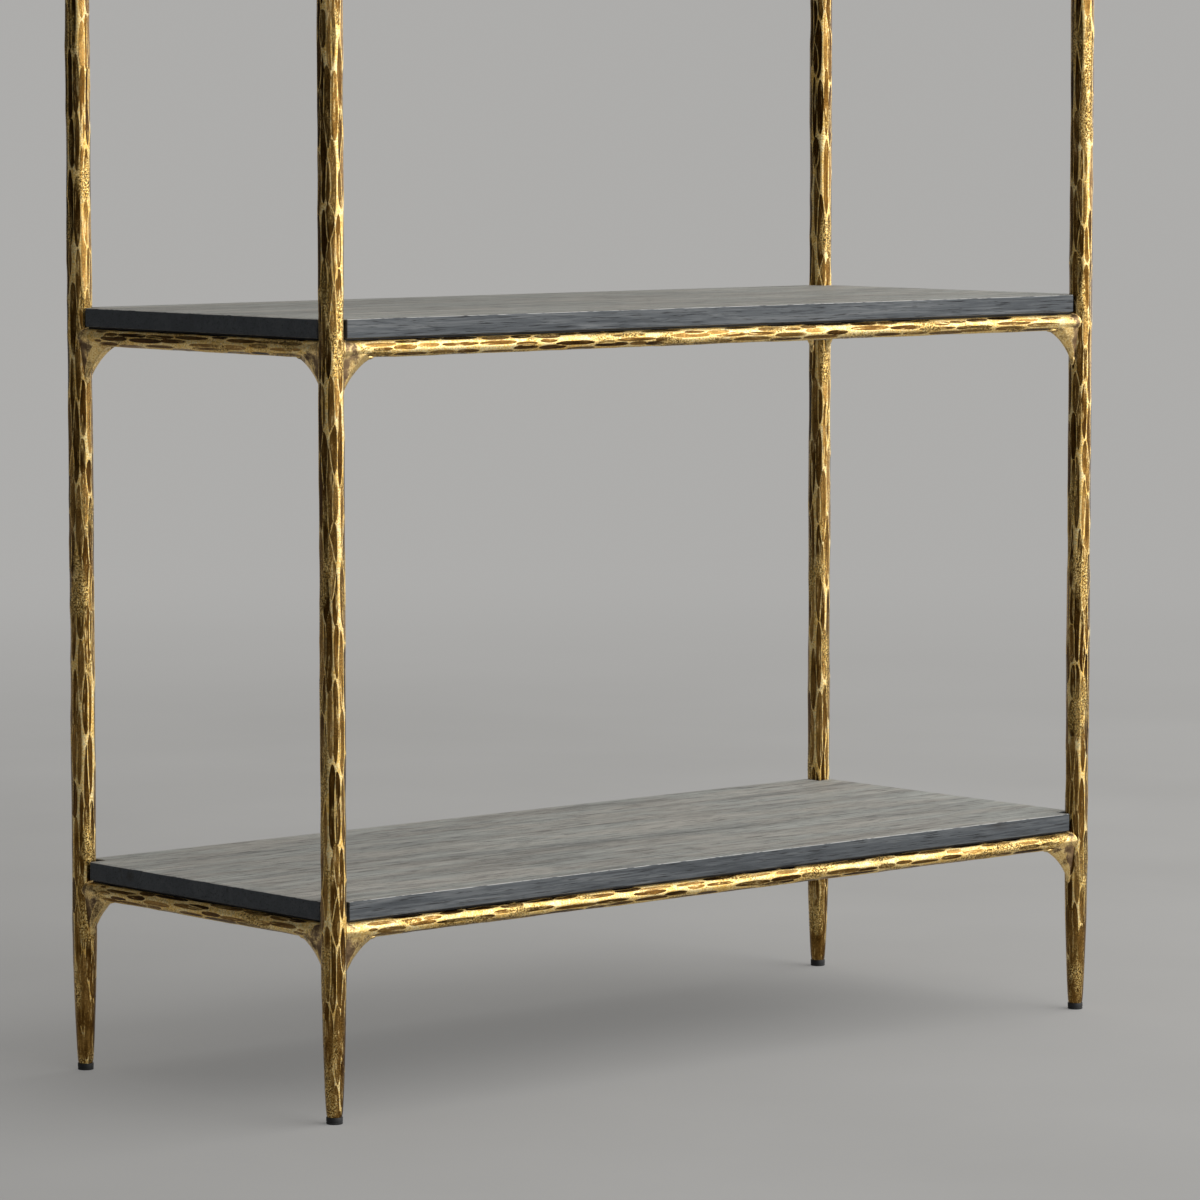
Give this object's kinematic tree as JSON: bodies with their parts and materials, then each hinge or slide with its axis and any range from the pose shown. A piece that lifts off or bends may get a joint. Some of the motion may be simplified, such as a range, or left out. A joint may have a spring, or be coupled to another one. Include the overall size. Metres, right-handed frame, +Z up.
{
  "type": "metal shelving unit",
  "caption": "Tall open shelving unit: hammered antique brass posts and rails with cast corner webs, dark stained boards and levelling glides.",
  "frame": {"origin": "floor level, under the middle of the unit", "axes": "+X along the width, to the right as seen from the front; +Y from front to back; +Z up"},
  "size_m": [0.9144, 0.3724, 1.651],
  "materials": {
    "hammered_brass": "antique brass over hammered round bar: brown lows and rubbed gold ridges",
    "cast_brass": "antique brass over rough cast webs and tabs, duller than the bars",
    "stained_wood": "blue-black stain with open grain and a thin satin lacquer",
    "black_plastic": "moulded black plastic, slightly scuffed",
    "zinc_steel": "bright zinc plated steel"
  },
  "bodies": {
    "frame": {"post_front_left": "hammered_brass", "post_front_right": "hammered_brass", "post_back_left": "hammered_brass", "post_back_right": "hammered_brass", "rail_front_1": "hammered_brass", "rail_back_1": "hammered_brass", "rail_left_1": "hammered_brass", "rail_right_1": "hammered_brass", "gussets_front_left_1": "cast_brass", "gussets_front_right_1": "cast_brass", "gussets_back_left_1": "cast_brass", "gussets_back_right_1": "cast_brass", "board_tabs_1": "cast_brass", "shelf_board_1": "stained_wood", "rail_front_2": "hammered_brass", "rail_back_2": "hammered_brass", "rail_left_2": "hammered_brass", "rail_right_2": "hammered_brass", "gussets_front_left_2": "cast_brass", "gussets_front_right_2": "cast_brass", "gussets_back_left_2": "cast_brass", "gussets_back_right_2": "cast_brass", "board_tabs_2": "cast_brass", "shelf_board_2": "stained_wood", "rail_front_3": "hammered_brass", "rail_back_3": "hammered_brass", "rail_left_3": "hammered_brass", "rail_right_3": "hammered_brass", "gussets_front_left_3": "cast_brass", "gussets_front_right_3": "cast_brass", "gussets_back_left_3": "cast_brass", "gussets_back_right_3": "cast_brass", "board_tabs_3": "cast_brass", "shelf_board_3": "stained_wood", "rail_front_4": "hammered_brass", "rail_back_4": "hammered_brass", "rail_left_4": "hammered_brass", "rail_right_4": "hammered_brass", "gussets_front_left_4": "cast_brass", "gussets_front_right_4": "cast_brass", "gussets_back_left_4": "cast_brass", "gussets_back_right_4": "cast_brass", "board_tabs_4": "cast_brass", "shelf_board_4": "stained_wood", "board_screws": "zinc_steel"},
    "glide_pad_front_left": {"glide_pad_front_left": "black_plastic"},
    "glide_stud_front_left": {"glide_stud_front_left": "zinc_steel"},
    "glide_pad_front_right": {"glide_pad_front_right": "black_plastic"},
    "glide_stud_front_right": {"glide_stud_front_right": "zinc_steel"},
    "glide_pad_back_left": {"glide_pad_back_left": "black_plastic"},
    "glide_stud_back_left": {"glide_stud_back_left": "zinc_steel"},
    "glide_pad_back_right": {"glide_pad_back_right": "black_plastic"},
    "glide_stud_back_right": {"glide_stud_back_right": "zinc_steel"}
  },
  "joints": [
    {"name": "glide_travel_front_left", "type": "slide", "parent": "frame", "child": "glide_pad_front_left", "axis": [0, 0, -1], "range_m": [0, 0.008]},
    {"name": "glide_turn_front_left", "type": "hinge", "parent": "glide_pad_front_left", "child": "glide_stud_front_left", "pos_m": [-0.446, -0.175, 0], "axis": [0, 0, -1], "range_deg": [0, 2880]},
    {"name": "glide_travel_front_right", "type": "slide", "parent": "frame", "child": "glide_pad_front_right", "axis": [0, 0, -1], "range_m": [0, 0.008]},
    {"name": "glide_turn_front_right", "type": "hinge", "parent": "glide_pad_front_right", "child": "glide_stud_front_right", "pos_m": [0.446, -0.175, 0], "axis": [0, 0, -1], "range_deg": [0, 2880]},
    {"name": "glide_travel_back_left", "type": "slide", "parent": "frame", "child": "glide_pad_back_left", "axis": [0, 0, -1], "range_m": [0, 0.008]},
    {"name": "glide_turn_back_left", "type": "hinge", "parent": "glide_pad_back_left", "child": "glide_stud_back_left", "pos_m": [-0.446, 0.175, 0], "axis": [0, 0, -1], "range_deg": [0, 2880]},
    {"name": "glide_travel_back_right", "type": "slide", "parent": "frame", "child": "glide_pad_back_right", "axis": [0, 0, -1], "range_m": [0, 0.008]},
    {"name": "glide_turn_back_right", "type": "hinge", "parent": "glide_pad_back_right", "child": "glide_stud_back_right", "pos_m": [0.446, 0.175, 0], "axis": [0, 0, -1], "range_deg": [0, 2880]}
  ],
  "couplings": [
    {"joint": "glide_turn_front_left", "follows": "glide_travel_front_left", "rad_per_m": 6283.2},
    {"joint": "glide_turn_front_right", "follows": "glide_travel_front_right", "rad_per_m": 6283.2},
    {"joint": "glide_turn_back_left", "follows": "glide_travel_back_left", "rad_per_m": 6283.2},
    {"joint": "glide_turn_back_right", "follows": "glide_travel_back_right", "rad_per_m": 6283.2}
  ]
}
